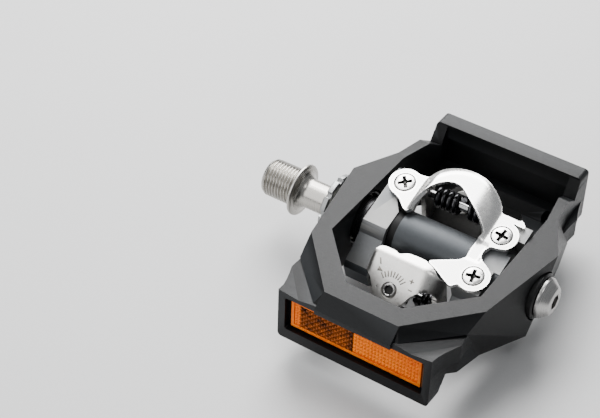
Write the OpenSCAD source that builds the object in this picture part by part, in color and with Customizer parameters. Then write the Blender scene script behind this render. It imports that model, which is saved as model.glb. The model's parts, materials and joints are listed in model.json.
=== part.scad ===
// Double-sided clipless pedal with a sprung pop-up cage.
// X runs along the spindle, away from the crank; the origin is on the spindle axis at the crank shoulder.
// Y points forward. Z points up with the cage level. Every side repeats after half a turn about X.

/* [Spindle] */
// Major diameter of the crank thread
thread_d = 14.28; // [14.2:0.02:14.3]
// Length of the crank thread
thread_length = 13.8; // [12:0.2:15]
// Diameter of the round shoulder flange
flange_d = 20; // [18:0.5:21]
// Diameter of the trumpet neck
neck_d = 11.2; // [10.8:0.1:11.6]

/* [Cage] */
// Distance from the crank shoulder to the middle of the cage
cage_mid = 58; // [57.9:0.1:58.3]
// Width of the end walls that hold the reflectors
end_wall_width = 60; // [59:0.5:61]
// Length of the cage over its end walls
cage_length = 112.8; // [112:0.2:114]
// Height of the ring's flat top above the spindle axis
ring_top = 12; // [11.8:0.1:12.2]
// Height of the raised end wall above the spindle axis
wall_top = 13.3; // [13:0.1:13.6]

/* [Mechanism] */
// Tilt of the mechanism against the level cage at rest
tilt = 17.5; // [17:0.1:17.5]
// Height of the binding plate's upper face above the spindle axis
plate_top = 10.8; // [10.6:0.1:10.9]
// Thickness of the binding plate
plate_thick = 1.5; // [1.3:0.1:1.6]
// Radius of the barrel round the spindle
barrel_r = 9.2; // [9:0.1:9.3]
// Diameter of a binding screw's head
screw_head_d = 7.8; // [7.4:0.1:8]

/* [Hidden] */
$fn = 64;
gap = 0.05;
cut = 1;

// Spindle stations along X
neck_start = 4.6;
sleeve_start = 14.6;
shaft_start = 24;
race_inner_x = 59.5;
race_outer_x = 65.5;
spindle_end = 73.5;
shaft_r = 5.2;
shaft_thread_r = 3;
ball_r = 1.19;
ball_ring_r = 5.1;
ball_count = 12;
cone_r = ball_ring_r - ball_r - gap;
bore_r = 7;
hex_socket = 8;

// Mechanism stations along X
tube_start = 17.3;
tube_end = 39.4;
bracket_start = 31.3;
barrel_start = 41;
barrel_end = 72.5;
head_end = 85;
lug_end = 87.2;
eye_w = 6;
hub_r = 8.4;
tube_r = 7.8;
flange_sleeve_r = 12;

// Binding screws: X from the cage's middle and Y in the mechanism's frame
screw_points = [[-20.6, 14], [21.1, 9.6], [20.5, -9.4]];
screw_shank_r = 2;
ear_r = 6;

// Rear claw pivot in the mechanism's frame
pin_y = -18;
pin_z = -3.8;
pin_r = 1.5;
pin_eye_r = 3.4;
claw_left = 42;
claw_right = 72;
claw_slope = 32;
bolt_x = 54;
bolt_y = -25.7;
bolt_z = 6.6;
bolt_r = 1.8;
bolt_head_r = 2.6;
bolt_head_low = -1.1;
bolt_tip = -7.4;
boss_low = -2.9;
nut_plate = [12, 5.6, 1.8];
// Rear edge of the binding plate's wing that overlies the claw's shoulder
wing_tip = [-0.6, -10.7];
wing_angle = -19.1;
wing_clear = 1.2;

// Cage stations measured from the cage's middle
wall_y = cage_length / 2;
wall_x = end_wall_width / 2;
block_top = 7.9;
lip_inner_y = 49.8;
lip_low = 7.3;
pocket_y = 51.6;
hub_wall_inner = -29.6;
reflector_x = 25.6;
reflector_low = -7.8;
reflector_high = 4.3;
reflector_face = -54.8;
reflector_thick = 0.9;
recess_x = 27.2;
recess_low = -8.9;
recess_high = 5.3;
recess_floor = -53.7;
bush_inboard_r = 9.4;
bush_outboard_r = 6;
stub_r = 4;
bolt_thread_r = 3.4;
washer_seat = 39.3;
washer_r = 8.7;
spring_x = -32.3;

// Closes a right-hand half outline with its mirror image
function mirrored(half) = concat(half, [for (i = [len(half) - 1:-1:0]) [-half[i][0], half[i][1]]]);

// Points on an arc in a plane, from angle a to angle b
function arc(cx, cy, r, a, b, steps) =
    [for (i = [0:steps]) [cx + r * cos(a + (b - a) * i / steps), cy + r * sin(a + (b - a) * i / steps)]];

// Repeats its children after half a turn about the spindle axis
module both_sides() {
    children();
    rotate([180, 0, 0]) children();
}

// The mechanism sits tilted against the cage
module in_mechanism() {
    rotate([tilt, 0, 0]) children();
}

module underside() {
    rotate([180, 0, 0]) children();
}

module in_cage() {
    translate([cage_mid, 0, 0]) children();
}

// A cylinder along X from x0 to x1
module rod(r, x0, x1) {
    translate([x0, 0, 0]) rotate([0, 90, 0]) cylinder(r = r, h = x1 - x0);
}

// A body of revolution about X; profile points are [x, radius]
module turned(profile) {
    rotate([0, 90, 0]) rotate_extrude() polygon([for (p = profile) [p[1], p[0]]]);
}

// A tube along X
module tube(r_out, r_in, x0, x1) {
    turned([[x0, r_in], [x1, r_in], [x1, r_out], [x0, r_out]]);
}

// A plate of YZ outline that runs along X from x0 to x1
module slab(outline, x0, x1) {
    translate([x0, 0, 0]) rotate([90, 0, 90]) linear_extrude(x1 - x0) polygon(outline);
}

// ---------- Spindle unit ----------

module spindle() {
    thread_r = thread_d / 2;
    flange_r = flange_d / 2;
    neck_r = neck_d / 2;
    flange_thick = 1.2;
    trumpet_r = 3.4;
    socket_depth = 8;
    trumpet = arc(neck_start + 0.4, neck_r + trumpet_r, trumpet_r, -180, -90, 8);
    color("silver") difference() {
        turned(concat(
            [[-thread_length, 0], [-thread_length, thread_r - 1], [-thread_length + 1, thread_r],
             [0, thread_r], [0, flange_r], [flange_thick, flange_r],
             [flange_thick + 0.4, neck_r + trumpet_r]],
            trumpet,
            [[sleeve_start + 1, neck_r - 0.1], [shaft_start - 1, neck_r - 0.1], [shaft_start, shaft_r],
             [race_inner_x - 2.2, shaft_r], [race_inner_x - 1.2, cone_r],
             [race_inner_x + 1.4, cone_r], [race_inner_x + 1.4, shaft_thread_r],
             [spindle_end, shaft_thread_r], [spindle_end, 0]]));
        translate([-thread_length - cut, 0, 0]) rotate([0, 90, 0])
            cylinder(d = hex_socket / cos(30), h = socket_depth + cut, $fn = 6);
    }
}

module bearing_cone() {
    color("silver") turned([[race_inner_x + 1.6, shaft_thread_r + gap],
        [race_outer_x + 2.6, shaft_thread_r + gap], [race_outer_x + 2.6, cone_r + 1],
        [race_outer_x + 1.3, cone_r], [race_inner_x + 1.6, cone_r]]);
}

module cone_lock_nut() {
    color("silver") difference() {
        translate([race_outer_x + 2.8, 0, 0]) rotate([0, 90, 0]) cylinder(d = 10, h = 3.2, $fn = 6);
        rod(shaft_thread_r + gap, race_outer_x, spindle_end + cut);
    }
}

module ball_row(x) {
    for (i = [0:ball_count - 1])
        rotate([i * 360 / ball_count, 0, 0]) translate([x, 0, ball_ring_r]) sphere(r = ball_r, $fn = 24);
}

module balls_inner() {
    color("silver") ball_row(race_inner_x);
}

module balls_outer() {
    color("silver") ball_row(race_outer_x);
}

// ---------- Mechanism body ----------

// Bracket seen along X: milled flat, round hub, and the slope down to the claw pin's eye
bracket_hub_r = 10.1;
bracket_flat = 8.6;
bracket_reach = 20.8;
bracket_outline = concat(
    [[0, -bracket_flat], [0, bracket_flat]],
    [[-sqrt(pow(bracket_hub_r, 2) - pow(bracket_flat, 2)), bracket_flat]],
    arc(0, 0, bracket_hub_r, 125, 149, 4),
    [[-14.2, 2.3], [-19, 0.8], [-bracket_reach, -1], [-bracket_reach, -7.4], [-19.6, -bracket_flat]]);

// Outboard head: two screw posts joined by a lower deck
head_outline = [[-15, -4], [-15, 9.3], [-3.6, 9.3], [-3.6, 8], [3.8, 8], [3.8, 9.3], [17.6, 9.3], [17.6, 0],
    [10, -4]];

// Outboard eye of the claw's pin
eye_outline = concat([[-8, 3], [-8, -8.4]], arc(pin_y, pin_z, pin_eye_r - 0.4, 270, 120, 8), [[-14.5, 2.3]]);

module screw_holes() {
    for (p = screw_points)
        translate([cage_mid + p[0], p[1], 1.4]) cylinder(r = screw_shank_r, h = plate_top);
}

module mechanism_body() {
    color("dimgray") in_mechanism() difference() {
        union() {
            rod(barrel_r, barrel_start - 1, barrel_end + 1);
            rod(barrel_r, barrel_end, head_end);
            both_sides() {
                slab(bracket_outline, bracket_start, barrel_start);
                // post under the binding plate's inboard ear
                translate([bracket_start, 10, bracket_flat - 2])
                    cube([barrel_start - bracket_start, 8, plate_top - plate_thick - bracket_flat + 2]);
                slab(head_outline, barrel_end, head_end - 1);
                slab(eye_outline, barrel_end, barrel_end + eye_w);
                translate([head_end - 2, 11, 2]) cube([lug_end - head_end + 2, 6.4, 7.2]);
            }
        }
        rod(bore_r, bracket_start - cut, spindle_end + 2);
        rod(tube_r, bracket_start - cut, tube_end);
        rod(bolt_thread_r, spindle_end, head_end + cut);
        // Dark groove between the bracket and the barrel
        tube(barrel_r + 12, barrel_r - 0.9, barrel_start, barrel_start + 3.2);
        both_sides() {
            screw_holes();
            translate([bracket_start - cut, pin_y, pin_z]) rotate([0, 90, 0])
                cylinder(r = pin_r, h = barrel_end + eye_w + 2 * cut - bracket_start);
        }
    }
}

module bearing_tube() {
    color("gainsboro") in_mechanism() turned([[tube_start, bore_r], [tube_end, bore_r], [tube_end, tube_r],
        [bracket_start - 0.6, tube_r], [bracket_start - 0.6, hub_r], [tube_start, hub_r]]);
}

module inboard_bush() {
    color("ivory") in_mechanism() tube(bore_r, shaft_r + gap, shaft_start + 1, tube_end);
}

module bearing_cup() {
    cup_r = ball_ring_r + ball_r + gap;
    color("silver") in_mechanism() turned([[race_inner_x - 2.4, shaft_r + 0.4], [race_inner_x - 1.4, cup_r],
        [race_outer_x + 1.4, cup_r], [race_outer_x + 2.4, cup_r - 0.5], [race_outer_x + 2.4, bore_r],
        [race_inner_x - 2.4, bore_r]]);
}

module lock_sleeve() {
    sleeve_end = 17.2;
    seal_r = neck_d / 2 + 2;
    notch_w = 2.4;
    color("darkgray") in_mechanism() difference() {
        turned([[sleeve_start, seal_r], [sleeve_end, seal_r], [sleeve_end, neck_d / 2 + 0.4],
            [shaft_start, neck_d / 2 + 0.4], [shaft_start, bore_r], [tube_start, bore_r],
            [tube_start, flange_sleeve_r - 0.6],
            [tube_start - 0.6, flange_sleeve_r], [sleeve_start + 0.8, flange_sleeve_r],
            [sleeve_start, flange_sleeve_r - 0.8]]);
        for (i = [0:9])
            rotate([i * 36, 0, 0]) translate([sleeve_start - cut, -notch_w / 2, flange_sleeve_r - 1.3])
                cube([cut + 2.2, notch_w, 3]);
    }
}

module dust_seal() {
    color("black") in_mechanism() tube(neck_d / 2 + 2, neck_d / 2 + gap, sleeve_start + 0.4, 17.1);
}

// ---------- Binding plate ----------

hoop_x = cage_mid + 1.2;
hoop_y = 11.8;
hoop_out = 15.2;
hoop_in = 10.4;
hoop_top = 14.2;
hoop_from_y = 14;
hoop_plate = 1.6;
// Middle of the hoop's opening, measured from the middle of its outer edge
opening_shift = [-3.2, -1.2];

// The plate's flat outline without its hoop
module plate_outline() {
    s = [for (p = screw_points) [cage_mid + p[0], p[1]]];
    for (p = s) translate(p) circle(r = ear_r);
    // left ear's small tab
    polygon([s[0] + [0, -5.6], s[0] + [3.4, -9.4], s[0] + [6.4, -10.4], s[0] + [8.2, -9], s[0] + [7, -4],
        s[0] + [4, -2]]);
    // from the left ear to the hoop's left foot
    polygon([s[0] + [0, 6], s[0] + [4.6, 5.4], s[0] + [11, 5.2], s[0] + [11, -1], s[0] + [7, -4.4], s[0]]);
    // from the hoop's right foot to the right ear
    polygon([s[1], s[1] + [-5.2, -3], s[1] + [-8.6, 1], s[1] + [-4.6, 9], s[1] + [4, 9], s[1] + [5.8, 7],
        s[1] + [6, 0]]);
    // strip across the barrel's end
    polygon([s[1] + [-5.2, 0], s[1] + [-2, -5.4], s[1] + [-3.4, -9.6], s[2] + [0, 5.8], s[2],
        s[2] + [-5.4, -2.4], s[2] + [-7.2, 4.2], s[2] + [-6.6, 9], s[2] + [-6.4, 13]]);
    // wing over the claw's shoulder
    polygon([s[2], s[2] + [-3.4, -5.4], s[2] + [-6, -6.6], s[2] + [-10.4, -5], s[2] + [-12.8, -4],
        s[2] + [-21, -1.4], s[2] + [-14.2, 0], s[2] + [-7.2, 4.2]]);
}

module binding_plate() {
    color("gainsboro") in_mechanism() difference() {
        union() {
            translate([0, 0, plate_top - plate_thick]) linear_extrude(plate_thick) plate_outline();
            // raised hoop on two short legs
            intersection() {
                translate([hoop_x, hoop_y, plate_top - plate_thick]) difference() {
                    cylinder(r = hoop_out, h = hoop_top - plate_top + plate_thick);
                    translate([opening_shift[0], opening_shift[1], -cut]) cylinder(r = hoop_in, h = 20);
                    translate([0, 0, -cut])
                        cylinder(r = hoop_out - hoop_plate, h = hoop_top - plate_top + cut);
                }
                translate([0, hoop_from_y, 0]) cube([200, 40, 40]);
            }
        }
        for (p = screw_points) translate([cage_mid + p[0], p[1], 0]) {
            cylinder(r = screw_shank_r + 0.1, h = 20);
            translate([0, 0, plate_top - 1.2]) cylinder(r = screw_head_d / 2 + 0.1, h = 3);
        }
    }
}

module binding_plate_top() {
    binding_plate();
}

module binding_plate_bottom() {
    underside() binding_plate();
}

module binding_screws() {
    head_r = screw_head_d / 2;
    cross = 0.9;
    color("silver") in_mechanism() for (p = screw_points) translate([cage_mid + p[0], p[1], 0]) difference() {
        union() {
            translate([0, 0, 2]) cylinder(r = screw_shank_r, h = plate_top - 3);
            translate([0, 0, plate_top - 1.2]) cylinder(r = head_r, h = 1.3);
        }
        for (a = [0, 90]) rotate([0, 0, a])
            translate([-2, -cross / 2, plate_top - 0.9]) cube([4, cross, 2]);
    }
}

module binding_screws_top() {
    binding_screws();
}

module binding_screws_bottom() {
    underside() binding_screws();
}

// ---------- Rear claw ----------

// Side view of the claw's shell: hooking edge, ridge, long slope, and the hollow under it
claw_outline = [[-11.6, 12.2], [-12, 10.9], [-15.4, 10.6], [-17.2, 9.9], [-27.6, 3.4], [-29.2, 1.6],
    [-31, 2.2], [-31, 4.2], [-29.4, 5.4], [-18.4, 12.3], [-15.2, 13.2]];

// Cheek that reaches down to the pin
cheek_outline = concat([[-14.6, 11.4], [-21.8, 7.2]], arc(pin_y, pin_z, pin_eye_r, 170, 350, 10),
    [[-13.4, 5]]);

// Places children on the tension bolt's axis, with Z along it
module on_bolt() {
    translate([bolt_x, bolt_y, bolt_z]) rotate([claw_slope, 0, 0]) children();
}

module rear_claw() {
    cheek = 2.4;
    boss_r = 4.2;
    notch_x = cage_mid - 6.3;
    color("lightgray") in_mechanism() difference() {
        union() {
            slab(claw_outline, claw_left, claw_right);
            slab(cheek_outline, claw_left, claw_left + cheek);
            slab(cheek_outline, claw_right - cheek, claw_right);
            // boss round the tension bolt
            on_bolt() translate([0, 0, boss_low]) cylinder(r = boss_r, h = bolt_head_low - boss_low + 0.4);
        }
        // V-notch in the hooking edge
        translate([notch_x, -11, 0]) rotate([0, 0, 45]) translate([-1.5, -1.5, 8]) cube([3, 3, 8]);
        // the inboard rear corner is cut off at an angle
        on_bolt() translate([claw_left - bolt_x, 5.5, -3]) rotate([0, 0, -51]) translate([-3, -12, 0])
            cube([30, 12, 12]);
        // concave cut-out at the outboard rear corner
        on_bolt() translate([13.6, -3.6, -12]) cylinder(r = 8.2, h = 24);
        // clearance under the binding plate's wing
        translate([cage_mid + wing_tip[0], wing_tip[1] - 0.5, plate_top - plate_thick - wing_clear])
            rotate([0, 0, wing_angle]) cube([40, 20, 10]);
        // the outboard shoulder slopes away
        translate([cage_mid + 6, -40, 13]) rotate([0, 30, 0]) cube([20, 60, 10]);
        translate([0, pin_y, pin_z]) rod(pin_r + gap, claw_left - cut, claw_right + cut);
        // tension bolt's counterbore and clearance hole
        on_bolt() translate([0, 0, bolt_head_low - 0.1]) cylinder(r = bolt_head_r + 0.3, h = 8);
        on_bolt() translate([0, 0, -10]) cylinder(r = bolt_r + gap, h = 12);
    }
}

module rear_claw_top() {
    rear_claw();
}

module rear_claw_bottom() {
    underside() rear_claw();
}

module claw_pin() {
    color("silver") in_mechanism() translate([0, pin_y, pin_z])
        rod(pin_r, bracket_start + 1, barrel_end + eye_w);
}

module claw_pin_top() {
    claw_pin();
}

module claw_pin_bottom() {
    underside() claw_pin();
}

// Two coil groups round the pin, drawn as one ribbed sleeve each
module claw_springs() {
    wire_r = 1.1;
    coil_r = 2.9;
    inboard_group = [47.2, 5];
    outboard_group = [60.6, 4];
    color("black") in_mechanism() translate([0, pin_y, pin_z]) for (group = [inboard_group, outboard_group]) {
        start = group[0];
        turns = group[1];
        turned(concat([[start, coil_r - wire_r]],
            [for (i = [0:turns - 1]) each arc(start + wire_r + i * 2 * wire_r, coil_r, wire_r, 180, 0, 6)],
            [[start + turns * 2 * wire_r, coil_r - wire_r]]));
    }
}

module claw_springs_top() {
    claw_springs();
}

module claw_springs_bottom() {
    underside() claw_springs();
}

module tension_bolt() {
    hex_key = 3;
    color("silver") in_mechanism() on_bolt() difference() {
        union() {
            translate([0, 0, bolt_head_low]) cylinder(r = bolt_head_r, h = 1.5);
            translate([0, 0, bolt_tip]) cylinder(r = bolt_r, h = bolt_head_low - bolt_tip + 0.1);
        }
        translate([0, 0, -0.7]) cylinder(d = hex_key / cos(30), h = 3, $fn = 6);
    }
}

module tension_bolt_top() {
    tension_bolt();
}

module tension_bolt_bottom() {
    underside() tension_bolt();
}

module tension_plate() {
    color("dimgray") in_mechanism() on_bolt() difference() {
        translate([-nut_plate[0] / 2, -nut_plate[1] / 2, bolt_tip + 1]) cube(nut_plate);
        translate([0, 0, -10]) cylinder(r = bolt_r + gap, h = 6);
    }
}

module tension_plate_top() {
    tension_plate();
}

module tension_plate_bottom() {
    underside() tension_plate();
}

// ---------- Cage ----------

// Half outlines seen from above, from the near end to the far end of the ring
ring_top_outline = [[14.3, -52.3], [34.6, -29.5], [41.5, 9], [32.8, 26.3]];
ring_skirt_outline = [[16.6, -55.5], [33, -38.8]];
wide_block = concat([[33, -20], [33, -38.8], [33.5, -43]],
    [for (t = [1:4]) [33.5 - 0.9 * t - 0.7 * sin(t * 36), -43 - 3.33 * t]]);
narrow_block = [[32.8, -20], [32.8, -26.3], [31, -39], [30.2, -47], [wall_x, -wall_y]];
cheek_profile = [[-20, 0], [-20, -ring_top], [-26.3, -ring_top], [-38.9, -10.8], [-46, -6],
    [-lip_inner_y, -12.6], [-lip_inner_y, -wall_top], [-wall_y, -wall_top], [-wall_y, 0]];
lip_profile = [[-52.3, ring_top], [-57.6, 7.7], [-57.6, 5.7], [-54, 5.7], [-50, 8]];
pocket_profile = [[-24, -20], [-lip_inner_y, -20], [-lip_inner_y, -lip_low], [-pocket_y, -lip_low],
    [-pocket_y, 4.5], [-47, 4.5], [-44, 8.4], [-24, 8.4]];
pocket_outline = [[25.5, -pocket_y], [25.5, -46], [29.6, -24]];
opening_outline = [[11, -44.2], [29.6, -24], [29.6, 24], [11, 44.2]];

// Ring with sloping outer faces, the same on both sides
module ring_hull() {
    hull() both_sides() {
        translate([0, 0, ring_top - 0.01]) linear_extrude(0.01) polygon(mirrored(ring_top_outline));
        translate([0, 0, block_top - 0.01]) linear_extrude(0.01) polygon(mirrored(ring_skirt_outline));
    }
}

// The near end: reflector wall, cheeks, and the lip over the reflector
module end_block() {
    linear_extrude(block_top) polygon(mirrored(wide_block));
    intersection() {
        translate([0, 0, -wall_top]) linear_extrude(wall_top) polygon(mirrored(narrow_block));
        slab(cheek_profile, -40, 40);
    }
    slab(lip_profile, -14.8, 14.8);
}

module end_pocket() {
    intersection() {
        slab(pocket_profile, -40, 40);
        translate([0, 0, -30]) linear_extrude(60) polygon(mirrored(pocket_outline));
    }
}

module cage() {
    color([0.22, 0.23, 0.24]) in_cage() difference() {
        union() {
            ring_hull();
            both_sides() end_block();
        }
        both_sides() end_pocket();
        translate([0, 0, -30]) linear_extrude(60) polygon(mirrored(opening_outline));
        // reflector recesses
        both_sides() translate([-recess_x, recess_floor - 6, recess_low])
            cube([2 * recess_x, 6, recess_high - recess_low]);
        // cored holes in the decks
        both_sides() for (x = [-20.5, 20.5]) translate([x, -45.4, 0]) cylinder(r = 1.7, h = 7);
        // inboard pivot: bush bore, spot face and spring pocket
        rod(bush_inboard_r, -50, -20);
        rod(flange_sleeve_r + 0.5, -50, -40.6);
        rod(11.2, hub_wall_inner - 3, -20);
        // outboard pivot: bush bore and washer recess
        rod(bush_outboard_r, 20, 50);
        rod(washer_r + 0.5, washer_seat - 0.1, 50);
    }
}

module cage_bush_inboard() {
    color("ivory") in_cage() tube(bush_inboard_r, hub_r + gap, -40.5, -32.7);
}

module cage_bush_outboard() {
    color("ivory") in_cage() tube(bush_outboard_r, stub_r + gap, 29.7, 39.1);
}

// Torsion spring round the hub, drawn as a ribbed sleeve
module popup_spring() {
    wire_r = 0.6;
    coil_r = 10.2;
    color("black") in_cage() in_mechanism() turned(concat(
        [[spring_x, coil_r - wire_r]],
        [for (i = [0:1]) each arc(spring_x + wire_r + i * 2 * wire_r, coil_r, wire_r, 180, 0, 6)],
        [[spring_x + 4 * wire_r, coil_r - wire_r]]));
}

module cage_pivot_bolt() {
    hex_key = 5;
    color("silver") in_cage() in_mechanism() difference() {
        turned([[20, 0], [20, bolt_thread_r], [27.6, bolt_thread_r], [27.6, stub_r], [42, stub_r],
            [42, 7.2], [42.6, 7.6], [43.4, 7.5], [46.2, 5.4], [46.7, 4.8], [46.7, 0]]);
        translate([43.7, 0, 0]) rotate([0, 90, 0]) cylinder(d = hex_key / cos(30), h = 5, $fn = 6);
    }
}

module pivot_washer() {
    color("black") in_cage() in_mechanism()
        turned([[washer_seat, stub_r + gap], [41.9, stub_r + gap], [41.9, 8], [41.3, washer_r],
            [washer_seat, washer_r]]);
}

// ---------- Reflectors ----------

module reflector() {
    color("orange") in_cage() translate([-reflector_x, reflector_face, reflector_low])
        cube([2 * reflector_x, reflector_thick, reflector_high - reflector_low]);
}

module reflector_back() {
    margin = 0.5;
    back = reflector_face + reflector_thick;
    color("saddlebrown") in_cage() translate([-reflector_x - margin, back, reflector_low - margin])
        cube([2 * (reflector_x + margin), recess_floor - back, reflector_high - reflector_low + 2 * margin]);
}

module reflector_rear() {
    reflector();
}

module reflector_front() {
    underside() reflector();
}

module reflector_back_rear() {
    reflector_back();
}

module reflector_back_front() {
    underside() reflector_back();
}

spindle();
bearing_cone();
cone_lock_nut();
balls_inner();
balls_outer();
mechanism_body();
bearing_tube();
inboard_bush();
bearing_cup();
lock_sleeve();
dust_seal();
binding_plate_top();
binding_plate_bottom();
binding_screws_top();
binding_screws_bottom();
rear_claw_top();
rear_claw_bottom();
claw_pin_top();
claw_pin_bottom();
claw_springs_top();
claw_springs_bottom();
tension_bolt_top();
tension_bolt_bottom();
tension_plate_top();
tension_plate_bottom();
cage();
cage_bush_inboard();
cage_bush_outboard();
popup_spring();
cage_pivot_bolt();
pivot_washer();
reflector_front();
reflector_rear();
reflector_back_front();
reflector_back_rear();
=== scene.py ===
import json
import math

import bmesh
import bpy
from mathutils import Matrix, Vector, geometry


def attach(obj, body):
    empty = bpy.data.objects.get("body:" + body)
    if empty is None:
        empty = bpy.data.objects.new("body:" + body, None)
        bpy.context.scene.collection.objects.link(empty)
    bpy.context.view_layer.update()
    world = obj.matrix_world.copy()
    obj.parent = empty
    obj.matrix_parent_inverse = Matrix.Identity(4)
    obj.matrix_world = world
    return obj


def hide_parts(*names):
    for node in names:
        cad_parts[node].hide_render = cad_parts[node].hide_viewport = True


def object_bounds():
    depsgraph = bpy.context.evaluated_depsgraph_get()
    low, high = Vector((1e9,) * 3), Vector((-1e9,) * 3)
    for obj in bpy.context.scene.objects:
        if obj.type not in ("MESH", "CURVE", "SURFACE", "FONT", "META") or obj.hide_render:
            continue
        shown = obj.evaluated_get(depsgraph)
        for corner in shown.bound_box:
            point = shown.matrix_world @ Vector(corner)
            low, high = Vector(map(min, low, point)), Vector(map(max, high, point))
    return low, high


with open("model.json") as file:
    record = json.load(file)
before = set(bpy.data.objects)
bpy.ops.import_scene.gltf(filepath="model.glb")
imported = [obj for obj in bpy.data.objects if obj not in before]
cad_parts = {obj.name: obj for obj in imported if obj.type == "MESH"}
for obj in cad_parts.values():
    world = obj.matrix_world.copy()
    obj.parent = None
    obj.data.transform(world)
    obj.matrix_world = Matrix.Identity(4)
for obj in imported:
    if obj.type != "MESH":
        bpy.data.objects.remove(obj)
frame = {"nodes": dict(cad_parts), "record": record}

cad_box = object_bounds()

# Millimetres of the design to metres of the scene
MM = 0.001
# Distance from the crank shoulder to the cage's middle, and the mechanism's tilt at rest
CAGE_MID = 58.0
TILT = math.radians(17.5)

TO_ROW = Matrix.Diagonal((MM, MM, MM, 1))
IN_CAGE = TO_ROW @ Matrix.Translation((CAGE_MID, 0, 0))
IN_MECHANISM = IN_CAGE @ Matrix.Rotation(TILT, 4, "X")
IN_SPINDLE_LINE = IN_MECHANISM @ Matrix.Translation((-CAGE_MID, 0, 0))
HALF_TURN = Matrix.Rotation(math.pi, 4, "X")
SIDES = {"top": Matrix.Identity(4), "bottom": HALF_TURN}


# ---------- Materials ----------

def node_of(tree, kind, **inputs):
    """A node with some of its input sockets set."""
    node = tree.nodes.new(kind)
    for key, value in inputs.items():
        node.inputs[key.replace("_", " ")].default_value = value
    return node


# Where noise, which mostly lies near one half, is stretched to a full range
TONE_SPAN = (0.32, 0.68)
ROUGH_SPAN = (0.3, 0.7)
# Pointiness from which an edge takes its lighter colour (worn paint on the casting, painted highlight and
# wear on the cage), and where it is full
EDGE_WEAR_AND_HIGHLIGHT_SPAN = (0.52, 0.60)
BUMP_DEPTH = 0.0004


def material(name, dark, light, rough, metallic=0.0, grain=(900, 900, 900), bump=0.05, fine=9000,
             edge_wear_and_highlight=None, specular=0.5, cloud=60):
    """A procedural surface: colour between two tones, uneven roughness, fine bump and lighter edges, which
    stand for wear and for painted highlight.
    rough is (smoothest, roughest); grain and cloud are the scales of the small and large pattern, and fine
    is the scale of the bump."""
    mat = bpy.data.materials.new(name)
    mat.use_nodes = True
    tree = mat.node_tree
    tree.nodes.clear()
    link = tree.links.new
    out = tree.nodes.new("ShaderNodeOutputMaterial")
    shader = node_of(tree, "ShaderNodeBsdfPrincipled", Metallic=metallic)
    shader.inputs["Specular IOR Level"].default_value = specular
    link(shader.outputs[0], out.inputs[0])
    place = tree.nodes.new("ShaderNodeTexCoord")
    stretch = tree.nodes.new("ShaderNodeMapping")
    stretch.inputs["Scale"].default_value = grain
    link(place.outputs["Object"], stretch.inputs["Vector"])
    streaks = node_of(tree, "ShaderNodeTexNoise", Scale=1.0, Detail=4.0, Roughness=0.6)
    link(stretch.outputs[0], streaks.inputs["Vector"])
    clouds = node_of(tree, "ShaderNodeTexNoise", Scale=float(cloud), Detail=3.0, Roughness=0.55)
    link(place.outputs["Object"], clouds.inputs["Vector"])
    both = tree.nodes.new("ShaderNodeMath")
    both.operation = "ADD"
    link(streaks.outputs["Fac"], both.inputs[0])
    link(clouds.outputs["Fac"], both.inputs[1])
    tone = tree.nodes.new("ShaderNodeValToRGB")
    tone.color_ramp.elements[0].position = TONE_SPAN[0]
    tone.color_ramp.elements[0].color = (*dark, 1)
    tone.color_ramp.elements[1].position = TONE_SPAN[1]
    tone.color_ramp.elements[1].color = (*light, 1)
    half = node_of(tree, "ShaderNodeMapRange")
    half.inputs["From Max"].default_value = 2.0
    link(both.outputs[0], half.inputs["Value"])
    link(half.outputs[0], tone.inputs["Fac"])
    colour = tone.outputs["Color"]
    if edge_wear_and_highlight:
        edge = tree.nodes.new("ShaderNodeNewGeometry")
        ramp = tree.nodes.new("ShaderNodeValToRGB")
        ramp.color_ramp.elements[0].position = EDGE_WEAR_AND_HIGHLIGHT_SPAN[0]
        ramp.color_ramp.elements[1].position = EDGE_WEAR_AND_HIGHLIGHT_SPAN[1]
        link(edge.outputs["Pointiness"], ramp.inputs["Fac"])
        mix = tree.nodes.new("ShaderNodeMix")
        mix.data_type = "RGBA"
        mix.inputs["B"].default_value = (*edge_wear_and_highlight, 1)
        link(ramp.outputs["Color"], mix.inputs["Factor"])
        link(colour, mix.inputs["A"])
        colour = mix.outputs["Result"]
    link(colour, shader.inputs["Base Color"])
    level = node_of(tree, "ShaderNodeMapRange")
    level.inputs["From Min"].default_value = ROUGH_SPAN[0]
    level.inputs["From Max"].default_value = ROUGH_SPAN[1]
    level.inputs["To Min"].default_value = rough[0]
    level.inputs["To Max"].default_value = rough[1]
    link(streaks.outputs["Fac"], level.inputs["Value"])
    link(level.outputs[0], shader.inputs["Roughness"])
    grit = node_of(tree, "ShaderNodeTexNoise", Scale=float(fine), Detail=2.0, Roughness=0.6)
    link(place.outputs["Object"], grit.inputs["Vector"])
    relief = tree.nodes.new("ShaderNodeMath")
    relief.operation = "ADD"
    link(grit.outputs["Fac"], relief.inputs[0])
    link(streaks.outputs["Fac"], relief.inputs[1])
    bumps = node_of(tree, "ShaderNodeBump", Strength=bump, Distance=BUMP_DEPTH)
    link(relief.outputs[0], bumps.inputs["Height"])
    link(bumps.outputs["Normal"], shader.inputs["Normal"])
    return mat


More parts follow.
